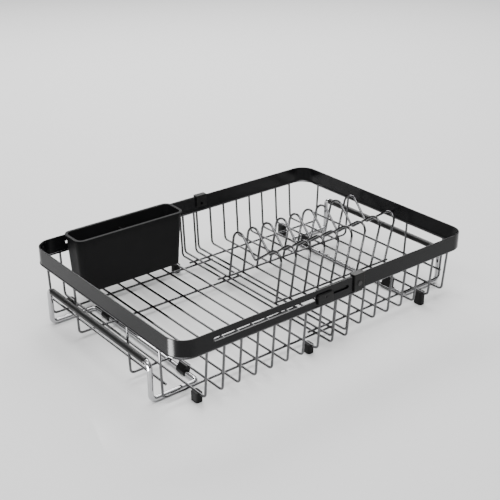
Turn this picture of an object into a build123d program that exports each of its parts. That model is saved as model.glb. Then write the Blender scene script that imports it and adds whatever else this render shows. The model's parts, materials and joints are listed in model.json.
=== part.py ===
from build123d import *
from math import atan, cos, degrees, sin
import os

# Expandable dish drying rack: an outer basket (left), an inner basket (right) that
# slides into it, a bent-rod support arm hinged under each end, nine plate dividers
# and a utensil holder that hangs on the back rail.
# Millimetres. +X along the rack to the inner basket's end, +Y to the back, +Z up.
# The origin is on the counter, under the middle of the extended rack.

# overall sizes
outer_length = 253.0        # outer rim band, end face to free end
inner_length = 247.0        # inner rim band, end face to free end
overlap = 70.0              # length that the two rims share when extended
rim_width = 300.0           # across the outer rim band
rim_top = 88.0              # top edge of both bands above the counter
slide_travel = 130.0        # how far the inner basket slides in

# rim bands
band_height = 19.5
band_thick = 1.6
band_edge = 0.4             # rounding of the band's long edges
rim_corner = 22.0           # outside corner radius of the outer band
band_gap = 0.3              # running gap between the two bands

# wires
basket_wire = 2.8           # diameter of every basket wire
divider_wire = 3.0
weld_sink = 0.2             # how deep crossing wires sink into each other
weld_depth = 1.0            # how far the wall wires' tips run into the frame wires
wire_bend = 5.0             # centreline bend radius of the basket wires
side_lean = 0.071           # inward lean of the long walls, mm per mm of height
end_lean = 0.035            # inward lean of the end walls
layer_gap = 0.35            # vertical gap between rods, outer wires and inner wires
nest_gap = 0.4              # sideways gap between the outer and the inner basket's wires
frame_tuck = 0.8            # inner frame wire above the outer one, in its own band's bottom corner
frame_end_inset = 1.0       # frame wire's tip to its basket's free end

# hoops: U-shaped wires across the rack
outer_hoops = 10
outer_end_inset = 35.0      # outer end face to the first hoop
outer_free_inset = 18.2     # last hoop to the outer free end
inner_hoops = 9
inner_end_inset = 30.0
inner_free_inset = 31.8
wide_gaps = 2               # gaps at the inner end that are wider than the rest
wide_factor = 1.134

# floor wires: J-shaped wires along the rack
floor_wire_inset = 29.7     # from the wall's bottom corner to the outer pair
floor_wire_mid = 54.5       # half the distance between the middle pair
outer_wire_stop = 13.0      # floor wire's tip to the outer free end
inner_wire_stop = 20.0      # floor wire's tip to the inner free end
end_wire_height = 26.0      # cross wire half way up each end wall
end_wire_tip = 3.5          # how far it passes the last floor wire

# plate dividers: M-shaped wires
divider_half = 45.5         # half the distance between a divider's legs
divider_top = 81.5
divider_valley = 56.0
divider_arch = 11.0         # centreline radius of the two humps
valley_bend = 4.0
first_lean = 8.0            # how far the first divider leans towards the inner end
lean_step = 0.9             # more lean on each divider after it
base_wire_tip = 4.0

# slide hardware
slot_height = 4.6
slot_start_spare = 21.0     # slot left over behind the slider when collapsed
slot_end_inset = 23.0       # slot's end to the outer free end
slider_length = 22.0
slider_height = 12.4
slider_drop = 18.0          # top of the band to the bottom of the slider shoe
slot_lift = 2.0             # slot's middle above the shoe's middle
shoe_thick = 2.2
shoe_corner = 2.0           # rounding of the shoe's four corners
cap_edge = 0.7              # rounding round the outside of the shoe and of the guide
neck_length = 16.0
fit_gap = 0.3               # gap round sliding pieces
guide_length = 16.0
guide_plate = 2.2
guide_lip = 1.8
guide_lip_height = 16.0
guide_roof = 1.6
guide_skirt_gap = 0.7       # guide's bottom edge above the band's bottom edge
tool_hole = 4.0             # hole in the guide's lip, opposite the rivet
rivet_shank = 3.0
rivet_head = 6.0
rivet_head_thick = 0.8
rivet_round = 0.6           # share of the head's thickness that is rounded off
rivet_seat = 0.6            # how deep the slider's rivet head sits in the shoe

# support arms
arm_rod = 6.0
arm_bend = 6.0
arm_lift = 0.4              # arm rod above the counter
arm_rise = 43.6             # crossbar up to top bar, centre to centre
arm_standoff = 5.0          # top bar's centre outside the rim's end face
arm_inset = 10.5            # leg inboard of the outer floor wires
left_clip_hoop = 2          # hoop that each arm's clips hold, counted from the end
right_clip_hoop = 2
left_rod_offset = 3.2       # crossbar's centre beside the hoop wire
right_rod_offset = 2.6
grip_outside = 8.0
grip_end_gap = 0.4          # bare rod between the grip and the bend
grip_edge = 0.6

# arm clips
clip_length = 14.0
clip_place = 78.0           # clip's centre from the rack's middle
clip_wall = 1.3
hinge_gap = 0.05            # radial gap between rod and clip
clip_slit = 0.5             # height at which the clip's mouth is cut off
clip_cover = 0.7            # plastic above the hoop wire's centre, so the wire snaps in from above

# feet
foot_width = 9.0
foot_length = 12.0
foot_out = 14.5             # foot's centre outboard of the outer floor wires
foot_cover = 0.6            # rubber above the wire's centre, so the wire snaps in from above
foot_edge = 1.5
outer_foot_hoops = (1, 8)
inner_foot_hoop = 2

# utensil holder
holder_inset = 38.7         # outer end face to the holder
holder_length = 151.0
holder_depth = 36.0
holder_wall = 2.0
holder_corner = 9.0
holder_floor_gap = 1.7      # above the inner basket's floor wires
holder_rim_height = 5.6     # top of the holder above the rim
holder_lip = 1.5
holder_taper = 3.7          # degrees
holder_back_gap = 3.0       # back wall to the inner band's inside face
hook_width = 57.0
hook_place = 101.8          # hook's centre from the holder's left end
hook_thick = 1.4
hook_drop = 6.9             # top of the hook to the bottom of its lip
hook_edge = 1.0
wall_drop = 12.0            # top of the holder to the top of its dividing wall
drain_length = 9.0
drain_width = 3.0
drain_pitch = 14.0
drain_row = 0.65            # each row of slots from the middle, in slot lengths

# worked out from the sizes above
rim_length = outer_length + inner_length - overlap
x_left = -rim_length / 2
x_right = rim_length / 2
outer_free = x_left + outer_length
inner_free = x_right - inner_length
band_bottom = rim_top - band_height
wire_r = basket_wire / 2
rod_r = arm_rod / 2
lay = basket_wire - weld_sink           # centre distance of two welded wires

outer_face = rim_width / 2
inner_face = outer_face - band_thick - band_gap
inner_inside = inner_face - band_thick
inner_end_face = x_right
outer_frame_z = band_bottom - wire_r + weld_sink
inner_frame_z = outer_frame_z + frame_tuck
outer_frame_y = outer_face - band_thick / 2
inner_frame_y = outer_frame_y - basket_wire - nest_gap
frame_inset = inner_face - inner_frame_y
outer_frame_x = x_left + band_thick / 2
inner_frame_x = inner_end_face - frame_inset
outer_wire_top = outer_frame_z - wire_r + weld_depth
inner_wire_top = inner_frame_z - wire_r + weld_depth

rod_z = arm_lift + rod_r
outer_floor_z = arm_lift + arm_rod + layer_gap + wire_r
outer_hoop_z = outer_floor_z + lay
inner_floor_z = outer_hoop_z + wire_r + layer_gap + wire_r
inner_hoop_z = inner_floor_z + lay
base_wire_z = inner_hoop_z + lay
divider_foot_z = base_wire_z + wire_r - weld_sink

outer_wall_foot = outer_frame_y - side_lean * (outer_wire_top - outer_hoop_z)
inner_wall_foot = inner_frame_y - side_lean * (inner_wire_top - inner_hoop_z)
floor_wire_out = outer_wall_foot - floor_wire_inset
floor_wire_ys = (-floor_wire_out, -floor_wire_mid, floor_wire_mid, floor_wire_out)

slider_x = inner_free + slider_length / 2
slot_z = rim_top - slider_drop + slider_height / 2 + slot_lift
slot_start = slider_x - slide_travel - slot_start_spare
slot_end = outer_free - slot_end_inset
arm_y = floor_wire_out - arm_inset


def outer_hoop_xs():
    span = outer_length - outer_end_inset - outer_free_inset
    pitch = span / (outer_hoops - 1)
    return [x_left + outer_end_inset + pitch * i for i in range(outer_hoops)]


def inner_hoop_xs():
    span = inner_length - inner_end_inset - inner_free_inset
    narrow_gaps = inner_hoops - 1 - wide_gaps
    pitch = span / (narrow_gaps + wide_gaps * wide_factor)
    places = [inner_free + inner_free_inset]
    for gap in range(inner_hoops - 1):
        step = pitch if gap < narrow_gaps else pitch * wide_factor
        places.append(places[-1] + step)
    return places


def bent_wire(points, diameter, radius):
    # round wire along straight runs joined by bends
    path = FilletPolyline(*points, radius=radius)
    return sweep((path ^ 0) * Circle(diameter / 2), path=path)


def straight_wire(start, end, diameter):
    path = Line(start, end)
    return sweep((path ^ 0) * Circle(diameter / 2), path=path)


def box_between(low, high):
    # box from its lowest to its highest corner
    size = [high[i] - low[i] for i in range(3)]
    middle = [(high[i] + low[i]) / 2 for i in range(3)]
    return Pos(*middle) * Box(*size)


def band_ring(half_width, corner, x_far):
    # closed flat band, later cut open; x_far is the end face that is kept
    length = 2 * abs(x_far)
    outside = RectangleRounded(length, 2 * half_width, corner)
    inside = RectangleRounded(
        length - 2 * band_thick, 2 * (half_width - band_thick), corner - band_thick
    )
    ring = Pos(0, 0, band_bottom) * extrude(outside - inside, amount=band_height)
    long_edges = ring.edges().filter_by(lambda edge: edge.length > band_height + 1)
    return fillet(long_edges, band_edge)


def outer_rim_band():
    band = band_ring(outer_face, rim_corner, x_left)
    cut = box_between(
        (outer_free, -rim_width, 0), (x_right + rim_width, rim_width, 2 * rim_top)
    )
    band -= cut
    slot = SlotOverall(slot_end - slot_start, slot_height)
    place = Pos((slot_start + slot_end) / 2, 0, slot_z) * Rot(90, 0, 0)
    band -= place * extrude(slot, amount=rim_width, both=True)
    for side in (-1, 1):
        hole = Pos(outer_free - guide_length / 2, side * outer_face, slot_z)
        band -= hole * Rot(90, 0, 0) * Cylinder(rivet_shank / 2, 4 * band_thick)
    return band


def inner_rim_band():
    band = band_ring(inner_face, rim_corner - band_thick, inner_end_face)
    cut = box_between(
        (x_left - rim_width, -rim_width, 0), (inner_free, rim_width, 2 * rim_top)
    )
    band -= cut
    for side in (-1, 1):
        hole = Pos(slider_x, side * inner_face, slot_z)
        band -= hole * Rot(90, 0, 0) * Cylinder(rivet_shank / 2, 4 * band_thick)
    return band


def frame_wire(x_free, x_end, y, z, corner):
    # wire under the band that the wall wires are welded to
    points = [(x_free, -y, z), (x_end, -y, z), (x_end, y, z), (x_free, y, z)]
    return bent_wire(points, basket_wire, corner)


def hoop(x, top_y, top_z, foot_y, floor_z):
    points = [(x, -top_y, top_z), (x, -foot_y, floor_z), (x, foot_y, floor_z), (x, top_y, top_z)]
    return bent_wire(points, basket_wire, wire_bend)


def floor_wire(x_frame, side, y, top_z, floor_z, x_tip):
    # comes down the end wall and turns along the floor
    x_foot = x_frame - side * end_lean * (top_z - floor_z)
    points = [(x_frame, y, top_z), (x_foot, y, floor_z), (x_tip, y, floor_z)]
    return bent_wire(points, basket_wire, wire_bend)


def end_wire(x_frame, side, top_z):
    x = x_frame - side * (end_lean * (top_z - end_wire_height) + lay)
    half = floor_wire_out + end_wire_tip
    return straight_wire((x, -half, end_wire_height), (x, half, end_wire_height), basket_wire)


def plate_divider(x, lean):
    # M-shaped wire in a plane that leans towards the inner end
    rise = divider_top - divider_foot_z
    angle = atan(lean / rise)
    top = rise / cos(angle) - divider_wire / 2
    valley = (divider_valley - divider_foot_z) / cos(angle)
    arch_y = divider_half - divider_arch
    arch_z = top - divider_arch
    slope = valley_slope(arch_y, arch_z - valley)
    corner = valley + slope * divider_half
    face = Plane(
        origin=(x, 0, divider_foot_z), x_dir=(0, 1, 0), z_dir=(cos(angle), 0, -sin(angle))
    )
    flat = [
        (-divider_half, 0), (-divider_half, corner), (0, valley),
        (divider_half, corner), (divider_half, 0),
    ]
    points = [face.from_local_coords(Vector(y, z, 0)) for y, z in flat]
    return bent_wire(points, divider_wire, [divider_arch, valley_bend, divider_arch])


def valley_slope(arch_y, drop):
    # slope of the line from the valley that touches the hump's circle from above
    low, high = 0.0, 10.0
    for _ in range(60):
        slope = (low + high) / 2
        if slope * arch_y - divider_arch * (1 + slope * slope) ** 0.5 < drop:
            low = slope
        else:
            high = slope
    return slope


def divider_base_wire(side):
    places = inner_hoop_xs()
    y = side * divider_half
    start = (places[0] - base_wire_tip, y, base_wire_z)
    end = (places[-1] + base_wire_tip, y, base_wire_z)
    return straight_wire(start, end, basket_wire)


def slider(side):
    # shoe outside the outer band, with a neck through its slot to the inner band
    shoe_low = rim_top - slider_drop
    shoe = box_between(
        (inner_free, outer_face + fit_gap, shoe_low),
        (inner_free + slider_length, outer_face + fit_gap + shoe_thick, shoe_low + slider_height),
    )
    shoe = fillet(shoe.edges().filter_by(Axis.Y), shoe_corner)
    shoe = fillet(shoe.faces().sort_by(Axis.Y)[-1].edges(), cap_edge)
    neck_half = slot_height / 2 - fit_gap
    neck = box_between(
        (slider_x - neck_length / 2, inner_face, slot_z - neck_half),
        (slider_x + neck_length / 2, outer_face + fit_gap + shoe_thick / 2, slot_z + neck_half),
    )
    hole = Pos(slider_x, outer_face, slot_z) * Rot(90, 0, 0)
    block = shoe + neck - hole * Cylinder(rivet_shank / 2, 4 * shoe_thick)
    return block if side > 0 else mirror(block, about=Plane.XZ)


def rivet(x, head_face, shank_end, side):
    # shank along Y with a low round head at head_face
    outward = 1 if head_face > shank_end else -1
    reach = abs(head_face - shank_end)
    shank = Cylinder(rivet_shank / 2, reach, align=(Align.CENTER, Align.CENTER, Align.MIN))
    head = Pos(0, 0, reach) * Cylinder(
        rivet_head / 2, rivet_head_thick, align=(Align.CENTER, Align.CENTER, Align.MIN)
    )
    head = fillet(head.edges().group_by(Axis.Z)[-1], rivet_head_thick * rivet_round)
    turned = Rot(-90 * outward, 0, 0) * (shank + head)
    whole = Pos(x, shank_end, slot_z) * turned
    return whole if side > 0 else mirror(whole, about=Plane.XZ)


def slider_rivets():
    outside = outer_face + fit_gap + shoe_thick
    return Compound(children=[rivet(slider_x, inner_inside, outside - rivet_seat, side) for side in (-1, 1)])


def guide_rivets():
    x = outer_free - guide_length / 2
    outside = outer_face + guide_plate
    inside = outer_face - band_thick
    return Compound(children=[rivet(x, outside, inside, side) for side in (-1, 1)])


def rail_guide(side):
    # cap on the outer band's free end that keeps the inner band upright
    start, end = outer_free - guide_length, outer_free
    roof_low = rim_top + fit_gap
    roof_top = roof_low + guide_roof
    lip_out = inner_inside - fit_gap
    lip_in = lip_out - guide_lip
    plate = box_between(
        (start, outer_face, band_bottom + guide_skirt_gap), (end, outer_face + guide_plate, roof_top)
    )
    roof = box_between((start, lip_in, roof_low), (end, outer_face + guide_plate, roof_top))
    lip = box_between((start, lip_in, roof_top - guide_lip_height), (end, lip_out, roof_top))
    cap = plate + roof + lip
    cap = fillet(cap.faces().sort_by(Axis.Y)[-1].edges(), cap_edge)
    through = Pos(outer_free - guide_length / 2, outer_face, slot_z) * Rot(90, 0, 0)
    cap -= through * Cylinder(rivet_shank / 2, 4 * guide_plate)
    access = Pos(outer_free - guide_length / 2, lip_in, slot_z) * Rot(90, 0, 0)
    cap -= access * Cylinder(tool_hole / 2, 3 * guide_lip)
    return cap if side > 0 else mirror(cap, about=Plane.XZ)


def arm_points(x_bar, x_top):
    # half of the rod's closed loop, from the crossbar's middle to the top bar's middle
    return [
        (x_bar, 0, rod_z), (x_bar, arm_y, rod_z), (x_top, arm_y, rod_z),
        (x_top, arm_y, rod_z + arm_rise), (x_top, 0, rod_z + arm_rise),
    ]


def support_arm(x_bar, x_top):
    half = bent_wire(arm_points(x_bar, x_top), arm_rod, arm_bend)
    return half + mirror(half, about=Plane.XZ)


def arm_grip(x_top):
    half = arm_y - arm_bend - grip_end_gap
    tube = Cylinder(grip_outside / 2, 2 * half)
    tube = fillet(tube.edges(), grip_edge)
    tube -= Cylinder(rod_r, 3 * half)
    return Pos(x_top, 0, rod_z + arm_rise) * Rot(90, 0, 0) * tube


def arm_clips(x_wire, wire_z, x_bar):
    # clips with a snap-in seat for a hoop on top and an open-mouthed bearing below
    bearing = rod_r + hinge_gap
    wire_ring = Pos(x_wire, wire_z) * Circle(wire_r + clip_wall)
    rod_ring = Pos(x_bar, rod_z) * Circle(bearing + clip_wall)
    profile = make_hull(wire_ring.edges() + rod_ring.edges())
    profile -= Pos(x_wire, wire_z) * Circle(wire_r)
    profile -= Pos(x_bar, rod_z) * Circle(bearing)
    profile -= Pos(x_bar, clip_slit - arm_rod) * Rectangle(4 * arm_rod, 2 * arm_rod)
    profile -= Pos(x_bar, wire_z + clip_cover + arm_rod) * Rectangle(4 * arm_rod, 2 * arm_rod)
    clips = []
    for side in (-1, 1):
        near_end = Pos(0, side * clip_place + clip_length / 2, 0) * Rot(90, 0, 0)
        clips.append(near_end * extrude(profile, amount=clip_length))
    return Compound(children=clips)


def foot(x, y, wire_z):
    block = box_between(
        (x - foot_width / 2, y - foot_length / 2, 0),
        (x + foot_width / 2, y + foot_length / 2, wire_z + foot_cover),
    )
    block = fillet(block.edges().filter_by(Axis.Z), 2 * foot_edge)
    block = chamfer(block.edges().group_by(Axis.Z)[-1], foot_edge / 2)
    return block - Pos(x, y, wire_z) * Rot(90, 0, 0) * Cylinder(wire_r, 2 * foot_length)


def feet(xs, wire_z):
    y = floor_wire_out + foot_out
    return Compound(children=[foot(x, side * y, wire_z) for x in xs for side in (-1, 1)])


def holder_shell(x_start, y_back, z_low, z_high):
    # open box with rounded corners whose walls lean outward towards the rim
    middle = Pos(x_start + holder_length / 2, y_back - holder_depth / 2, z_high)
    height = z_high - z_low
    outside = RectangleRounded(holder_length, holder_depth, holder_corner)
    inside = RectangleRounded(
        holder_length - 2 * holder_wall, holder_depth - 2 * holder_wall, holder_corner - holder_wall
    )
    shell = extrude(outside, amount=-height, taper=holder_taper)
    shell = fillet(shell.edges().group_by(Axis.Z)[0], holder_wall)
    cavity = extrude(inside, amount=-(height - holder_wall), taper=holder_taper)
    lip = extrude(offset(outside, holder_lip) - inside, amount=-holder_lip)
    return middle * (shell - cavity + lip)


def drain_slots(x_start, y_middle, z_low):
    count = int((holder_length - 2 * holder_corner) / drain_pitch)
    first = x_start + holder_length / 2 - drain_pitch * (count - 1) / 2
    slot = extrude(SlotOverall(drain_length, drain_width), amount=3 * holder_wall, both=True)
    places = [first + drain_pitch * i for i in range(count)]
    return [
        Pos(x, y_middle + row, z_low) * Rot(0, 0, 90) * slot
        for x in places if abs(x - x_start - holder_length / 2) > drain_width + holder_wall
        for row in (-drain_length * drain_row, drain_length * drain_row)
    ]


def utensil_holder():
    x_start = x_left + holder_inset
    y_back = inner_inside - holder_back_gap
    z_low = inner_hoop_z + wire_r + holder_floor_gap
    z_high = rim_top + holder_rim_height
    holder = holder_shell(x_start, y_back, z_low, z_high)
    y_middle = y_back - holder_depth / 2
    wall_depth = holder_depth - holder_wall
    wall = box_between(
        (x_start + (holder_length - holder_wall) / 2, y_middle - wall_depth / 2, z_low + holder_wall / 2),
        (x_start + (holder_length + holder_wall) / 2, y_middle + wall_depth / 2, z_high - wall_drop),
    )
    taper_room = extrude(
        RectangleRounded(holder_length, holder_depth, holder_corner),
        amount=-(z_high - z_low), taper=holder_taper,
    )
    wall &= Pos(x_start + holder_length / 2, y_middle, z_high) * taper_room
    holder += wall
    for cut in drain_slots(x_start, y_middle, z_low):
        holder -= cut
    hook_out = outer_face + fit_gap + hook_thick
    hook_top = rim_top + fit_gap + hook_thick
    hook_left = x_start + hook_place - hook_width / 2
    roof = box_between(
        (hook_left, y_back - holder_wall / 2, hook_top - hook_thick),
        (hook_left + hook_width, hook_out, hook_top),
    )
    lip = box_between(
        (hook_left, hook_out - hook_thick, hook_top - hook_drop),
        (hook_left + hook_width, hook_out, hook_top),
    )
    hook = roof + lip
    hook = fillet(hook.edges().filter_by(Axis.X).sort_by_distance((0, hook_out, hook_top))[0], hook_edge)
    return holder + hook


def outer_nodes():
    hoops = outer_hoop_xs()
    nodes = {
        "outer_rim_band": outer_rim_band(),
        "outer_frame_wire": frame_wire(
            outer_free - frame_end_inset, outer_frame_x, outer_frame_y, outer_frame_z,
            rim_corner - band_thick / 2,
        ),
        "outer_end_wire": end_wire(outer_frame_x, -1, outer_wire_top),
        "front_rail_guide": rail_guide(-1),
        "back_rail_guide": rail_guide(1),
        "guide_rivets": guide_rivets(),
        "left_arm_clips": arm_clips(hoops[left_clip_hoop - 1], outer_hoop_z, left_bar_x()),
        "outer_feet": feet([hoops[i - 1] for i in outer_foot_hoops], outer_hoop_z),
    }
    for i, x in enumerate(hoops, start=1):
        nodes[f"outer_hoop_{i:02d}"] = hoop(
            x, outer_frame_y, outer_wire_top, outer_wall_foot, outer_hoop_z
        )
    for i, y in enumerate(floor_wire_ys, start=1):
        nodes[f"outer_floor_wire_{i}"] = floor_wire(
            outer_frame_x, -1, y, outer_wire_top, outer_floor_z, outer_free - outer_wire_stop
        )
    return nodes


def inner_nodes():
    hoops = inner_hoop_xs()
    nodes = {
        "inner_rim_band": inner_rim_band(),
        "inner_frame_wire": frame_wire(
            inner_free + frame_end_inset, inner_frame_x, inner_frame_y, inner_frame_z,
            rim_corner - band_thick - frame_inset,
        ),
        "inner_end_wire": end_wire(inner_frame_x, 1, inner_wire_top),
        "front_slider": slider(-1),
        "back_slider": slider(1),
        "slider_rivets": slider_rivets(),
        "right_arm_clips": arm_clips(hoops[-right_clip_hoop], inner_hoop_z, right_bar_x()),
        "inner_feet": feet([hoops[-inner_foot_hoop]], inner_hoop_z),
        "divider_base_wire_front": divider_base_wire(-1),
        "divider_base_wire_back": divider_base_wire(1),
    }
    for i, x in enumerate(hoops, start=1):
        nodes[f"inner_hoop_{i}"] = hoop(
            x, inner_frame_y, inner_wire_top, inner_wall_foot, inner_hoop_z
        )
        nodes[f"plate_divider_{i}"] = plate_divider(x, first_lean + lean_step * (i - 1))
    for i, y in enumerate(floor_wire_ys, start=1):
        nodes[f"inner_floor_wire_{i}"] = floor_wire(
            inner_frame_x, 1, y, inner_wire_top, inner_floor_z, inner_free + inner_wire_stop
        )
    return nodes


def left_bar_x():
    return outer_hoop_xs()[left_clip_hoop - 1] - left_rod_offset


def right_bar_x():
    return inner_hoop_xs()[-right_clip_hoop] - right_rod_offset


def arm_nodes():
    left_top = x_left - arm_standoff
    right_top = x_right + arm_standoff
    return {
        "left_arm_rod": support_arm(left_bar_x(), left_top),
        "left_arm_grip": arm_grip(left_top),
        "right_arm_rod": support_arm(right_bar_x(), right_top),
        "right_arm_grip": arm_grip(right_top),
    }


def main():
    os.makedirs("parts", exist_ok=True)
    nodes = {**outer_nodes(), **inner_nodes(), **arm_nodes(), "utensil_holder": utensil_holder()}
    for name, shape in nodes.items():
        export_step(shape, f"parts/{name}.step")
    print(len(nodes), "nodes")
    print("arm hinge axes: x", round(left_bar_x(), 3), round(right_bar_x(), 3), "z", round(rod_z, 3))


main()
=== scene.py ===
import json
import math

import bpy
from mathutils import Matrix, Vector


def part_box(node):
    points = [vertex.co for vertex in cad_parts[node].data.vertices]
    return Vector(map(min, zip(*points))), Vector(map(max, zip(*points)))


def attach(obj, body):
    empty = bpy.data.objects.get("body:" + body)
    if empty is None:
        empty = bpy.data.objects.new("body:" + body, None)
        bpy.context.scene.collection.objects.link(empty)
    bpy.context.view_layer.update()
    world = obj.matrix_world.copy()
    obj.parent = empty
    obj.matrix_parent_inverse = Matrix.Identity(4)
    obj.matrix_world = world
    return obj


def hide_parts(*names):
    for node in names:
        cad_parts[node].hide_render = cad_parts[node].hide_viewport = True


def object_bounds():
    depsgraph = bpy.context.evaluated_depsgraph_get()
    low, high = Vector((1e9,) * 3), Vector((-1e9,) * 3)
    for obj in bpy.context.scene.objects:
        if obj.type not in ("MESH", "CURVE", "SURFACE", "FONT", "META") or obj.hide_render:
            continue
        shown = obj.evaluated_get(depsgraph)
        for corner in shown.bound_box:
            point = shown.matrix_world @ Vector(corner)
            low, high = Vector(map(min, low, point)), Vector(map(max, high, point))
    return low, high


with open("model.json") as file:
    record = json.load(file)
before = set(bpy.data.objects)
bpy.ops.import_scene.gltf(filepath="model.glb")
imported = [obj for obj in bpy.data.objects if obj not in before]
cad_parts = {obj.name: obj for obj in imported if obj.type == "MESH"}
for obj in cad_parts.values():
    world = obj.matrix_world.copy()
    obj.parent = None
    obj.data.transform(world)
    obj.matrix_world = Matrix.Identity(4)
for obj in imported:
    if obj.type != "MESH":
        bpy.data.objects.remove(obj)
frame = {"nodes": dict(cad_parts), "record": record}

cadLow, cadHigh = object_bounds()
cadNodes = frame["nodes"]
print("frame loaded:", len(cadNodes), "nodes")


# small helpers for node trees
def makeMaterial(name):
    material = bpy.data.materials.new(name)
    material.use_nodes = True
    tree = material.node_tree
    return material, tree, tree.nodes["Principled BSDF"]


def addNode(tree, kind, **settings):
    node = tree.nodes.new(kind)
    for key, value in settings.items():
        setattr(node, key, value)
    return node


def groupSocket(tree, name, way, kind, default=None):
    socket = tree.interface.new_socket(name=name, in_out=way, socket_type=kind)
    if default is not None:
        socket.default_value = default
    return socket


# fine grain over broad clouds, shared by every material
grainSettings = {
    "fineDetail": 2.0, "cloudDetail": 3.0,
    "fineShare": 0.45,  # how much of the fine grain is added to the clouds for the colour
    "cloudLow": 0.35, "cloudHigh": 0.65,  # cloud values that give the smoothest and the roughest
}


def buildGrainGroup():
    group = bpy.data.node_groups.new("surfaceGrain", "ShaderNodeTree")
    groupSocket(group, "Grain Size", "INPUT", "NodeSocketFloat", 900.0)
    groupSocket(group, "Cloud Size", "INPUT", "NodeSocketFloat", 25.0)
    groupSocket(group, "Dark", "INPUT", "NodeSocketColor", (0.01, 0.01, 0.01, 1))
    groupSocket(group, "Light", "INPUT", "NodeSocketColor", (0.02, 0.02, 0.02, 1))
    groupSocket(group, "Smoothest", "INPUT", "NodeSocketFloat", 0.35)
    groupSocket(group, "Roughest", "INPUT", "NodeSocketFloat", 0.5)
    groupSocket(group, "Color", "OUTPUT", "NodeSocketColor")
    groupSocket(group, "Roughness", "OUTPUT", "NodeSocketFloat")
    groupSocket(group, "Height", "OUTPUT", "NodeSocketFloat")
    enter = addNode(group, "NodeGroupInput")
    leave = addNode(group, "NodeGroupOutput")
    place = addNode(group, "ShaderNodeTexCoord")
    fine = addNode(group, "ShaderNodeTexNoise")
    fine.inputs["Detail"].default_value = grainSettings["fineDetail"]
    cloud = addNode(group, "ShaderNodeTexNoise")
    cloud.inputs["Detail"].default_value = grainSettings["cloudDetail"]
    blend = addNode(group, "ShaderNodeMath", operation="MULTIPLY_ADD")
    blend.inputs[1].default_value = grainSettings["fineShare"]
    tone = addNode(group, "ShaderNodeMix", data_type="RGBA")
    gloss = addNode(group, "ShaderNodeMapRange")
    gloss.inputs["From Min"].default_value = grainSettings["cloudLow"]
    gloss.inputs["From Max"].default_value = grainSettings["cloudHigh"]
    links = group.links
    links.new(place.outputs["Object"], fine.inputs["Vector"])
    links.new(place.outputs["Object"], cloud.inputs["Vector"])
    links.new(enter.outputs["Grain Size"], fine.inputs["Scale"])
    links.new(enter.outputs["Cloud Size"], cloud.inputs["Scale"])
    links.new(fine.outputs["Fac"], blend.inputs[0])
    links.new(cloud.outputs["Fac"], blend.inputs[2])
    links.new(blend.outputs[0], tone.inputs["Factor"])
    links.new(enter.outputs["Dark"], tone.inputs["A"])
    links.new(enter.outputs["Light"], tone.inputs["B"])
    links.new(cloud.outputs["Fac"], gloss.inputs["Value"])
    links.new(enter.outputs["Smoothest"], gloss.inputs["To Min"])
    links.new(enter.outputs["Roughest"], gloss.inputs["To Max"])
    links.new(tone.outputs["Result"], leave.inputs["Color"])
    links.new(gloss.outputs["Result"], leave.inputs["Roughness"])
    links.new(fine.outputs["Fac"], leave.inputs["Height"])
    return group


grainGroup = buildGrainGroup()


def grainedMaterial(name, look):
    material, tree, shader = makeMaterial(name)
    grain = addNode(tree, "ShaderNodeGroup", node_tree=grainGroup)
    for key in ("Grain Size", "Cloud Size", "Smoothest", "Roughest"):
        grain.inputs[key].default_value = look[key]
    grain.inputs["Dark"].default_value = (*look["Dark"], 1)
    grain.inputs["Light"].default_value = (*look["Light"], 1)
    bump = addNode(tree, "ShaderNodeBump")
    bump.inputs["Strength"].default_value = look["bump"]
    bump.inputs["Distance"].default_value = look["bumpDepth"]
    links = tree.links
    links.new(grain.outputs["Color"], shader.inputs["Base Color"])
    links.new(grain.outputs["Roughness"], shader.inputs["Roughness"])
    links.new(grain.outputs["Height"], bump.inputs["Height"])
    links.new(bump.outputs["Normal"], shader.inputs["Normal"])
    shader.inputs["Metallic"].default_value = look.get("metallic", 0.0)
    shader.inputs["Specular IOR Level"].default_value = look.get("specular", 0.5)
    shader.inputs["Coat Weight"].default_value = look.get("coat", 0.0)
    shader.inputs["Coat Roughness"].default_value = look.get("coatRoughness", 0.3)
    return material


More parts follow.
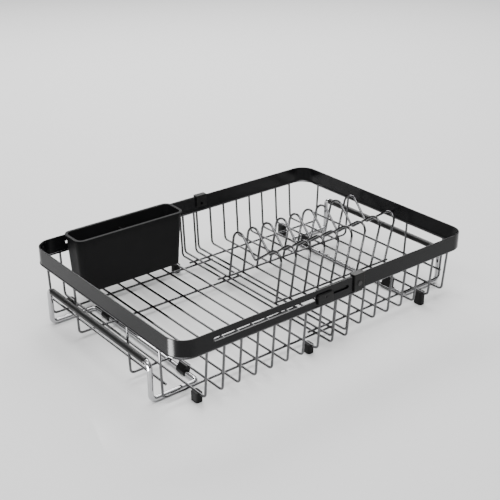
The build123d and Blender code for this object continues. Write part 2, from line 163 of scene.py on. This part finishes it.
# brightness, gloss and bump of each material slot
looks = {
    "rim_coat": {
        "Grain Size": 1500.0, "Cloud Size": 18.0,
        "Dark": (0.0035, 0.0036, 0.0042), "Light": (0.0075, 0.0076, 0.0085),
        "Smoothest": 0.21, "Roughest": 0.27, "bump": 0.08, "bumpDepth": 0.0002, "specular": 0.15,
    },
    "wire_chrome": {
        "Grain Size": 700.0, "Cloud Size": 60.0,
        "Dark": (0.060, 0.060, 0.062), "Light": (0.12, 0.12, 0.123),
        "Smoothest": 0.05, "Roughest": 0.10, "bump": 0.01, "bumpDepth": 0.0001, "metallic": 1.0,
    },
    "arm_chrome": {
        "Grain Size": 500.0, "Cloud Size": 30.0,
        "Dark": (0.40, 0.40, 0.41), "Light": (0.50, 0.50, 0.51),
        "Smoothest": 0.03, "Roughest": 0.06, "bump": 0.004, "bumpDepth": 0.0001, "metallic": 1.0,
    },
    "holder_plastic": {
        "Grain Size": 1800.0, "Cloud Size": 22.0,
        "Dark": (0.0070, 0.0070, 0.0074), "Light": (0.0125, 0.0125, 0.0131),
        "Smoothest": 0.48, "Roughest": 0.58, "bump": 0.22, "bumpDepth": 0.0003, "specular": 0.09,
    },
    "clip_plastic": {
        "Grain Size": 1600.0, "Cloud Size": 70.0,
        "Dark": (0.003, 0.003, 0.003), "Light": (0.007, 0.007, 0.007),
        "Smoothest": 0.34, "Roughest": 0.44, "bump": 0.15, "bumpDepth": 0.0002, "specular": 0.17,
    },
    "rivet_black": {
        "Grain Size": 1500.0, "Cloud Size": 120.0,
        "Dark": (0.005, 0.005, 0.005), "Light": (0.012, 0.012, 0.013),
        "Smoothest": 0.20, "Roughest": 0.32, "bump": 0.06, "bumpDepth": 0.0002, "specular": 0.4,
    },
    "foot_rubber": {
        "Grain Size": 1200.0, "Cloud Size": 90.0,
        "Dark": (0.004, 0.004, 0.004), "Light": (0.010, 0.010, 0.010),
        "Smoothest": 0.62, "Roughest": 0.80, "bump": 0.25, "bumpDepth": 0.0003, "specular": 0.2,
    },
    "grip_rubber": {
        "Grain Size": 1100.0, "Cloud Size": 40.0,
        "Dark": (0.004, 0.004, 0.004), "Light": (0.008, 0.008, 0.008),
        "Smoothest": 0.26, "Roughest": 0.36, "bump": 0.12, "bumpDepth": 0.0003, "specular": 0.32,
    },
}
materials = {slot: grainedMaterial(slot, look) for slot, look in looks.items()}
print("materials made:", len(materials))


def setMaterial(obj, material):
    obj.data.materials.clear()
    obj.data.materials.append(material)


for part in frame["record"]["subparts"]:
    setMaterial(cadNodes[part["node"]], materials[part["material_slot"]])


# weld nuggets where the wires cross, one tree for both baskets
weldSizes = {
    "length": 0.0032, "width": 0.0031, "height": 0.0012,
    "unevenness": 0.08,  # share by which a nugget is larger or smaller than the rest
    "turn": 0.3,  # radians either way
    "lift": 0.0001,  # nugget's middle above the hoops' underside
    "segments": 12, "rings": 6, "seed": 7,
    "baskets": {
        "outer": {"body": "outer_basket", "hoops": "outer_hoop_", "floors": "outer_floor_wire_"},
        "inner": {"body": "inner_basket", "hoops": "inner_hoop_", "floors": "inner_floor_wire_"},
    },
}


def buildWeldTree():
    tree = bpy.data.node_groups.new("weldNuggets", "GeometryNodeTree")
    groupSocket(tree, "Crossings", "INPUT", "NodeSocketGeometry")
    groupSocket(tree, "Length", "INPUT", "NodeSocketFloat", 0.0034)
    groupSocket(tree, "Width", "INPUT", "NodeSocketFloat", 0.0030)
    groupSocket(tree, "Height", "INPUT", "NodeSocketFloat", 0.0016)
    groupSocket(tree, "Unevenness", "INPUT", "NodeSocketFloat", 0.12)
    groupSocket(tree, "Seed", "INPUT", "NodeSocketInt", 7)
    groupSocket(tree, "Finish", "INPUT", "NodeSocketMaterial")
    groupSocket(tree, "Geometry", "OUTPUT", "NodeSocketGeometry")
    enter = addNode(tree, "NodeGroupInput")
    leave = addNode(tree, "NodeGroupOutput")
    ball = addNode(tree, "GeometryNodeMeshUVSphere")
    ball.inputs["Segments"].default_value = weldSizes["segments"]
    ball.inputs["Rings"].default_value = weldSizes["rings"]
    ball.inputs["Radius"].default_value = 0.5
    smooth = addNode(tree, "GeometryNodeSetShadeSmooth")
    size = addNode(tree, "ShaderNodeCombineXYZ")
    swing = addNode(tree, "FunctionNodeRandomValue", data_type="FLOAT")
    low = addNode(tree, "ShaderNodeMath", operation="SUBTRACT")
    low.inputs[0].default_value = 1.0
    high = addNode(tree, "ShaderNodeMath", operation="ADD")
    high.inputs[0].default_value = 1.0
    scaled = addNode(tree, "ShaderNodeVectorMath", operation="SCALE")
    turn = addNode(tree, "FunctionNodeRandomValue", data_type="FLOAT")
    turn.inputs["Min"].default_value = -weldSizes["turn"]
    turn.inputs["Max"].default_value = weldSizes["turn"]
    spin = addNode(tree, "ShaderNodeCombineXYZ")
    put = addNode(tree, "GeometryNodeInstanceOnPoints")
    real = addNode(tree, "GeometryNodeRealizeInstances")
    paint = addNode(tree, "GeometryNodeSetMaterial")
    links = tree.links
    links.new(enter.outputs["Length"], size.inputs["X"])
    links.new(enter.outputs["Width"], size.inputs["Y"])
    links.new(enter.outputs["Height"], size.inputs["Z"])
    links.new(enter.outputs["Unevenness"], low.inputs[1])
    links.new(enter.outputs["Unevenness"], high.inputs[1])
    links.new(low.outputs[0], swing.inputs["Min"])
    links.new(high.outputs[0], swing.inputs["Max"])
    links.new(enter.outputs["Seed"], swing.inputs["Seed"])
    links.new(enter.outputs["Seed"], turn.inputs["Seed"])
    links.new(size.outputs[0], scaled.inputs[0])
    links.new(swing.outputs["Value"], scaled.inputs["Scale"])
    links.new(turn.outputs["Value"], spin.inputs["Z"])
    links.new(ball.outputs["Mesh"], smooth.inputs["Geometry"])
    links.new(enter.outputs["Crossings"], put.inputs["Points"])
    links.new(smooth.outputs["Geometry"], put.inputs["Instance"])
    links.new(scaled.outputs[0], put.inputs["Scale"])
    links.new(spin.outputs[0], put.inputs["Rotation"])
    links.new(put.outputs["Instances"], real.inputs["Geometry"])
    links.new(real.outputs["Geometry"], paint.inputs["Geometry"])
    links.new(enter.outputs["Finish"], paint.inputs["Material"])
    links.new(paint.outputs["Geometry"], leave.inputs["Geometry"])
    return tree


def socketId(tree, name):
    for item in tree.interface.items_tree:
        if item.item_type == "SOCKET" and item.in_out == "INPUT" and item.name == name:
            return item.identifier
    raise KeyError(name)


def bakeTree(name, mesh, tree, values):
    # runs the tree on the mesh and keeps only its plain result
    source = bpy.data.objects.new(name + "Source", mesh)
    bpy.context.scene.collection.objects.link(source)
    modifier = source.modifiers.new("shape", "NODES")
    modifier.node_group = tree
    for key, value in values.items():
        modifier[socketId(tree, key)] = value
    bpy.context.view_layer.update()
    depsgraph = bpy.context.evaluated_depsgraph_get()
    result = bpy.data.meshes.new_from_object(source.evaluated_get(depsgraph), depsgraph=depsgraph)
    source.modifiers.remove(modifier)
    bpy.data.objects.remove(source)
    piece = bpy.data.objects.new(name, result)
    bpy.context.scene.collection.objects.link(piece)
    return piece


def pointMesh(name, points):
    mesh = bpy.data.meshes.new(name)
    mesh.from_pydata([tuple(p) for p in points], [], [])
    return mesh


def nodesNamed(prefix):
    return sorted(n for n in cadNodes if n.startswith(prefix))


weldTree = buildWeldTree()
for key, sizes in weldSizes["baskets"].items():
    hoopXs = [sum(c.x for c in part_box(n)) / 2 for n in nodesNamed(sizes["hoops"])]
    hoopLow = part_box(nodesNamed(sizes["hoops"])[0])[0].z
    floorYs = [sum(c.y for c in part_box(n)) / 2 for n in nodesNamed(sizes["floors"])]
    crossings = [(x, y, hoopLow + weldSizes["lift"]) for x in hoopXs for y in floorYs]
    welds = bakeTree(key + "Welds", pointMesh(key + "Crossings", crossings), weldTree, {
        "Length": weldSizes["length"], "Width": weldSizes["width"], "Height": weldSizes["height"],
        "Unevenness": weldSizes["unevenness"], "Seed": weldSizes["seed"],
        "Finish": materials["wire_chrome"],
    })
    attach(welds, sizes["body"])
print("welds made")


# ribbed sleeves on the arms' top bars, with a plain cuff at each end
gripSizes = {
    "ribPitch": 0.0020, "ribDepth": 0.00022,
    "ribSteps": 4,  # rings of faces in one rib
    "cuff": 0.0045, "edge": 0.0009, "sides": 32,
    "bodies": {"left_arm_grip": "left_arm", "right_arm_grip": "right_arm"},
}


def buildGripTree():
    tree = bpy.data.node_groups.new("ribbedSleeve", "GeometryNodeTree")
    groupSocket(tree, "Middle", "INPUT", "NodeSocketGeometry")
    groupSocket(tree, "Radius", "INPUT", "NodeSocketFloat", 0.004)
    groupSocket(tree, "Length", "INPUT", "NodeSocketFloat", 0.2)
    groupSocket(tree, "Rib Pitch", "INPUT", "NodeSocketFloat", 0.002)
    groupSocket(tree, "Rib Depth", "INPUT", "NodeSocketFloat", 0.0002)
    groupSocket(tree, "Cuff", "INPUT", "NodeSocketFloat", 0.004)
    groupSocket(tree, "Edge", "INPUT", "NodeSocketFloat", 0.0008)
    groupSocket(tree, "Sides", "INPUT", "NodeSocketInt", 32)
    groupSocket(tree, "Steps", "INPUT", "NodeSocketInt", 400)
    groupSocket(tree, "Finish", "INPUT", "NodeSocketMaterial")
    groupSocket(tree, "Geometry", "OUTPUT", "NodeSocketGeometry")
    enter = addNode(tree, "NodeGroupInput")
    leave = addNode(tree, "NodeGroupOutput")
    links = tree.links

    def calc(operation, *values):
        node = addNode(tree, "ShaderNodeMath", operation=operation)
        for socket, value in zip(node.inputs, values):
            if isinstance(value, (int, float)):
                socket.default_value = value
            else:
                links.new(value, socket)
        return node.outputs[0]

    tube = addNode(tree, "GeometryNodeMeshCylinder", fill_type="NGON")
    links.new(enter.outputs["Sides"], tube.inputs["Vertices"])
    links.new(enter.outputs["Steps"], tube.inputs["Side Segments"])
    links.new(enter.outputs["Radius"], tube.inputs["Radius"])
    links.new(enter.outputs["Length"], tube.inputs["Depth"])
    place = addNode(tree, "GeometryNodeInputPosition")
    split = addNode(tree, "ShaderNodeSeparateXYZ")
    links.new(place.outputs["Position"], split.inputs[0])
    along = split.outputs["Z"]
    half = calc("MULTIPLY", enter.outputs["Length"], 0.5)
    fromMiddle = calc("ABSOLUTE", along)
    ribbed = calc("LESS_THAN", fromMiddle, calc("SUBTRACT", half, enter.outputs["Cuff"]))
    turn = calc("DIVIDE", calc("MULTIPLY", along, 2 * math.pi), enter.outputs["Rib Pitch"])
    wave = calc("MULTIPLY_ADD", calc("COSINE", turn), -0.5, 0.5)
    groove = calc("MULTIPLY", calc("MULTIPLY", wave, ribbed), enter.outputs["Rib Depth"])
    edge = enter.outputs["Edge"]
    intoEdge = calc("MAXIMUM", calc("SUBTRACT", fromMiddle, calc("SUBTRACT", half, edge)), 0.0)
    square = calc("SUBTRACT", calc("MULTIPLY", edge, edge), calc("MULTIPLY", intoEdge, intoEdge))
    roundOff = calc("SUBTRACT", edge, calc("SQRT", calc("MAXIMUM", square, 0.0)))
    shrink = calc("DIVIDE", calc("ADD", groove, roundOff), enter.outputs["Radius"])
    keep = calc("SUBTRACT", 1.0, shrink)
    joined = addNode(tree, "ShaderNodeCombineXYZ")
    links.new(calc("MULTIPLY", split.outputs["X"], keep), joined.inputs["X"])
    links.new(calc("MULTIPLY", split.outputs["Y"], keep), joined.inputs["Y"])
    links.new(along, joined.inputs["Z"])
    shaped = addNode(tree, "GeometryNodeSetPosition")
    links.new(tube.outputs["Mesh"], shaped.inputs["Geometry"])
    links.new(joined.outputs[0], shaped.inputs["Position"])
    smooth = addNode(tree, "GeometryNodeSetShadeSmooth")
    links.new(shaped.outputs["Geometry"], smooth.inputs["Geometry"])
    links.new(tube.outputs["Side"], smooth.inputs["Selection"])
    put = addNode(tree, "GeometryNodeInstanceOnPoints")
    put.inputs["Rotation"].default_value = (math.pi / 2, 0, 0)
    links.new(enter.outputs["Middle"], put.inputs["Points"])
    links.new(smooth.outputs["Geometry"], put.inputs["Instance"])
    real = addNode(tree, "GeometryNodeRealizeInstances")
    links.new(put.outputs["Instances"], real.inputs["Geometry"])
    paint = addNode(tree, "GeometryNodeSetMaterial")
    links.new(real.outputs["Geometry"], paint.inputs["Geometry"])
    links.new(enter.outputs["Finish"], paint.inputs["Material"])
    links.new(paint.outputs["Geometry"], leave.inputs["Geometry"])
    return tree


gripTree = buildGripTree()
for node, body in gripSizes["bodies"].items():
    low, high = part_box(node)
    length = high.y - low.y
    ribs = round(length / gripSizes["ribPitch"])
    sleeve = bakeTree(body + "Sleeve", pointMesh(body + "Middle", [(low + high) / 2]), gripTree, {
        "Radius": (high.x - low.x) / 2, "Length": length, "Rib Pitch": gripSizes["ribPitch"],
        "Rib Depth": gripSizes["ribDepth"], "Cuff": gripSizes["cuff"], "Edge": gripSizes["edge"],
        "Sides": gripSizes["sides"], "Steps": ribs * gripSizes["ribSteps"],
        "Finish": materials["grip_rubber"],
    })
    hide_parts(node)
    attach(sleeve, body)
print("grips made")


floorLook = {"color": 0.82, "roughness": 0.7, "specular": 0.1, "reach": 30.0, "below": 0.0002}


def buildStage():
    material, tree, shader = makeMaterial("paleFloor")
    shader.inputs["Base Color"].default_value = (*(floorLook["color"],) * 3, 1)
    shader.inputs["Roughness"].default_value = floorLook["roughness"]
    shader.inputs["Specular IOR Level"].default_value = floorLook["specular"]
    reach = floorLook["reach"]
    corners = [(-reach, -reach, 0), (reach, -reach, 0), (reach, reach, 0), (-reach, reach, 0)]
    mesh = bpy.data.meshes.new("studioFloor")
    mesh.from_pydata(corners, [], [(0, 1, 2, 3)])
    floor = bpy.data.objects.new("studioFloor", mesh)
    floor.location.z = cadLow.z - floorLook["below"]
    floor.data.materials.append(material)
    bpy.context.scene.collection.objects.link(floor)


studio = {
    # brightness of the surroundings at these heights, from straight down to straight up
    "sky": ((0.0, 0.30), (0.44, 0.10), (0.56, 0.13), (0.72, 0.50), (1.0, 0.92)),
    # the plain backdrop that shows above the floor
    "backdrop": 0.80,
    "strength": 0.85,
    "lights": [
        # name, place, aimed at, size across, size along, watts, only gloss shows it
        ("windowSoft", (-1.1, -0.3, 1.9), (0, 0, 0.04), 1.0, 0.6, 14.0, False),
        ("backSoft", (0.75, 1.45, 1.35), (0, 0, 0.04), 2.2, 0.6, 46.0, False),
        ("topSoft", (0.1, -0.2, 1.9), (0, 0, 0.04), 1.9, 0.7, 26.0, False),
        ("cornerCard", (-0.300, -0.110, 0.024), (-0.214, -0.137, 0.060), 0.050, 0.050, 0.45, True),
    ],
}


def buildWorld():
    world = bpy.data.worlds.new("studioWorld")
    bpy.context.scene.world = world
    world.use_nodes = True
    tree = world.node_tree
    background = tree.nodes["Background"]
    background.inputs["Strength"].default_value = studio["strength"]
    place = addNode(tree, "ShaderNodeTexCoord")
    split = addNode(tree, "ShaderNodeSeparateXYZ")
    rise = addNode(tree, "ShaderNodeMapRange")
    rise.inputs["From Min"].default_value = -1.0
    ramp = addNode(tree, "ShaderNodeValToRGB")
    while len(ramp.color_ramp.elements) < len(studio["sky"]):
        ramp.color_ramp.elements.new(0.5)
    for element, (height, light) in zip(ramp.color_ramp.elements, studio["sky"]):
        element.position = height
        element.color = (light, light, light, 1)
    tree.links.new(place.outputs["Generated"], split.inputs[0])
    tree.links.new(split.outputs["Z"], rise.inputs["Value"])
    tree.links.new(rise.outputs["Result"], ramp.inputs["Fac"])
    path = addNode(tree, "ShaderNodeLightPath")
    shown = addNode(tree, "ShaderNodeMix", data_type="RGBA")
    shown.inputs["B"].default_value = (*(studio["backdrop"],) * 3, 1)
    tree.links.new(path.outputs["Is Camera Ray"], shown.inputs["Factor"])
    tree.links.new(ramp.outputs["Color"], shown.inputs["A"])
    tree.links.new(shown.outputs["Result"], background.inputs["Color"])


def buildLights():
    for name, place, aim, across, along, watts, onlyGloss in studio["lights"]:
        data = bpy.data.lights.new(name, "AREA")
        data.shape = "RECTANGLE"
        data.size = across
        data.size_y = along
        data.energy = watts
        lamp = bpy.data.objects.new(name, data)
        lamp.location = place
        lamp.rotation_euler = (Vector(aim) - Vector(place)).to_track_quat("-Z", "Y").to_euler()
        lamp.visible_camera = not onlyGloss
        lamp.visible_diffuse = not onlyGloss
        bpy.context.scene.collection.objects.link(lamp)


cameraPlace = {
    "location": (-0.6728, -0.8273, 0.5750), "right": (0.77829, -0.62790, 0.00182),
    "up": (0.26678, 0.33329, 0.90429), "forward": (0.56841, 0.70332, -0.42691),
    "lens": 70.29, "sensor": 36.0,
}


def buildCamera():
    data = bpy.data.cameras.new("viewCamera")
    data.lens = cameraPlace["lens"]
    data.sensor_width = cameraPlace["sensor"]
    camera = bpy.data.objects.new("viewCamera", data)
    right, up, forward = (Vector(cameraPlace[k]) for k in ("right", "up", "forward"))
    turn = Matrix((right, up, -forward)).transposed()
    camera.matrix_world = Matrix.Translation(cameraPlace["location"]) @ turn.to_4x4()
    bpy.context.scene.collection.objects.link(camera)
    bpy.context.scene.camera = camera


buildStage()
buildWorld()
buildLights()
buildCamera()
print("stage, lights and camera made")
